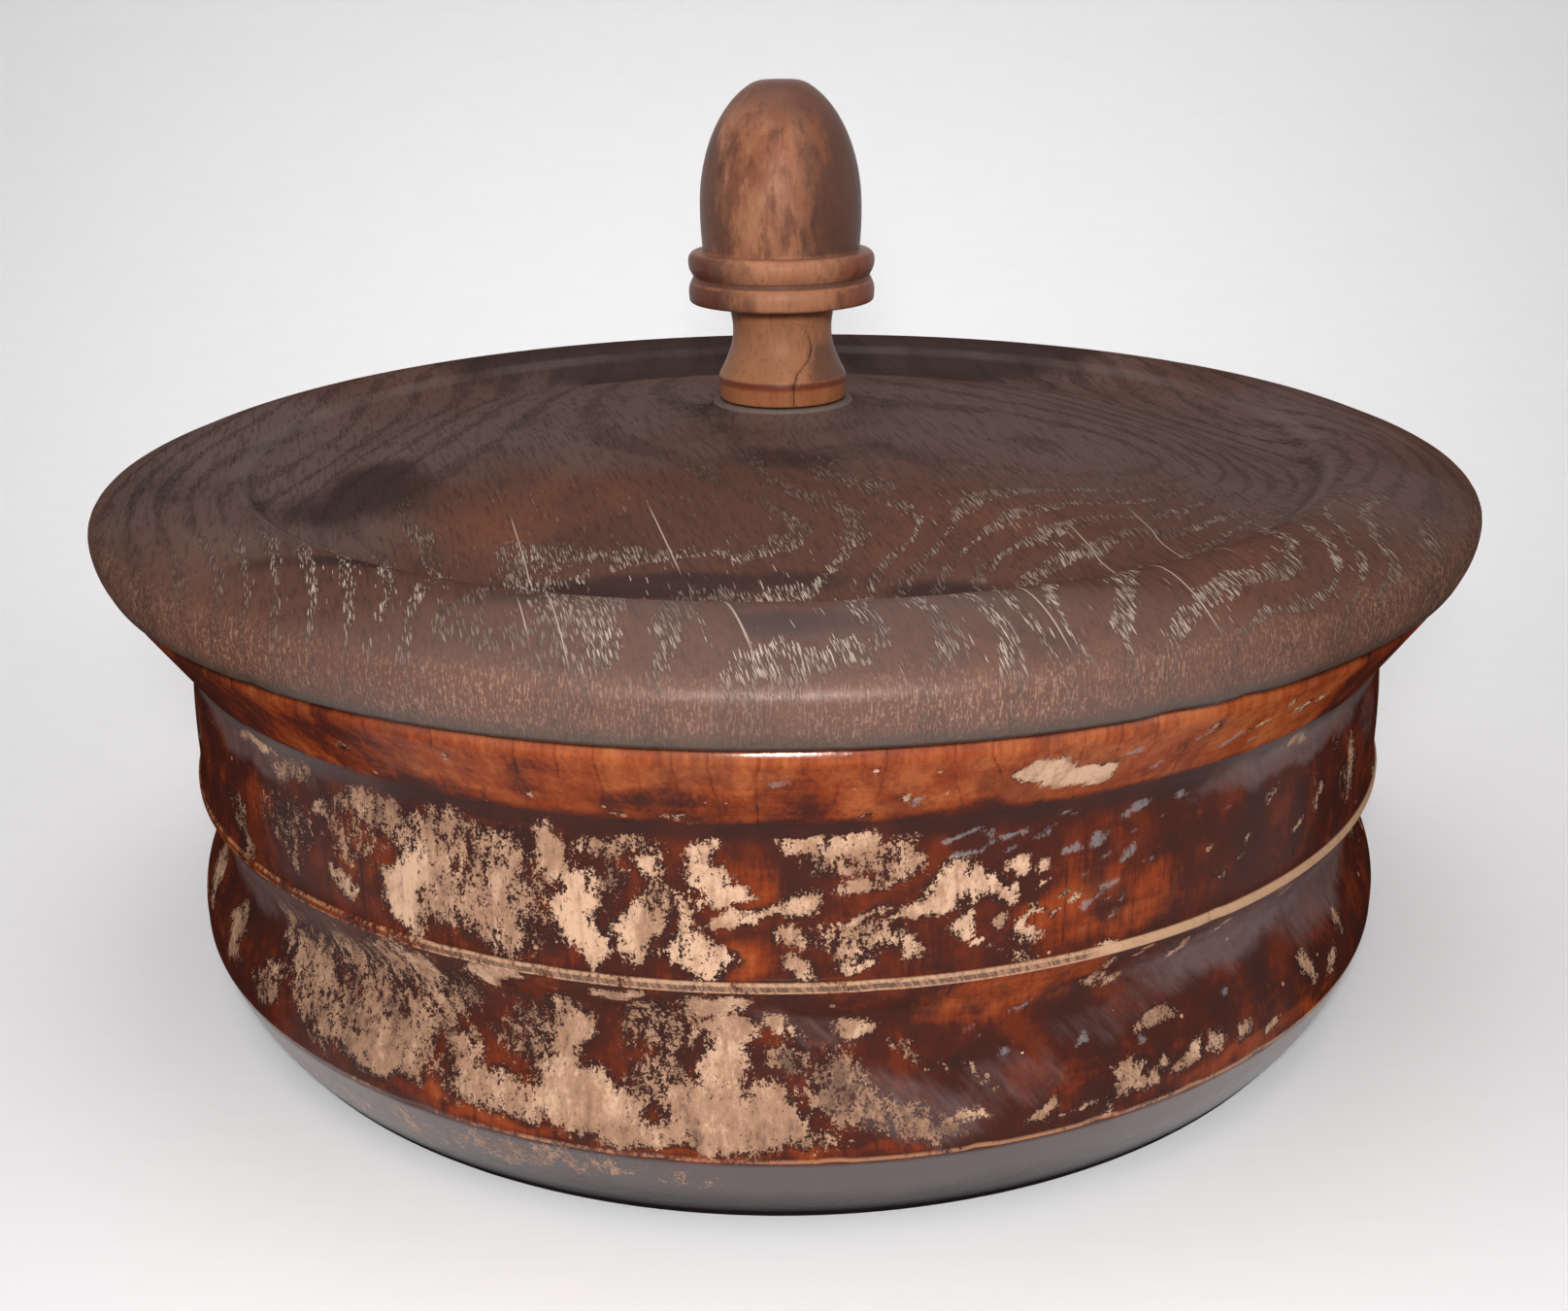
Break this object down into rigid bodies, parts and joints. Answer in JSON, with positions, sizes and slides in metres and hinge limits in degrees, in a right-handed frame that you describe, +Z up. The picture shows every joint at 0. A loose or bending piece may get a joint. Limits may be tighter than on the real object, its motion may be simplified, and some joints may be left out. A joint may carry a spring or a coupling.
{
  "type": "lidded wooden pot",
  "caption": "Round turned wooden pot with a flared foot and rim band, a moulded drop-in lid and an acorn knob screwed on from below.",
  "frame": {"origin": "centre of the base, on the surface that the pot stands on", "axes": "+Z up, along the axis that every piece is turned about"},
  "size_m": [0.3, 0.3, 0.1938],
  "materials": {
    "bowl_finish": "worn red-brown varnish over pale bare wood",
    "lid_wood": "matt, open pored",
    "knob_wood": "handled satin",
    "screw_steel": "dull steel"
  },
  "bodies": {
    "bowl": {"bowl": "bowl_finish"},
    "lid": {"lid": "lid_wood", "acorn_knob": "knob_wood", "knob_screw": "screw_steel"}
  },
  "joints": [
    {"name": "lid_lift", "type": "slide", "parent": "bowl", "child": "lid", "axis": [0, 0, 1], "range_m": [0, 0.12]}
  ]
}
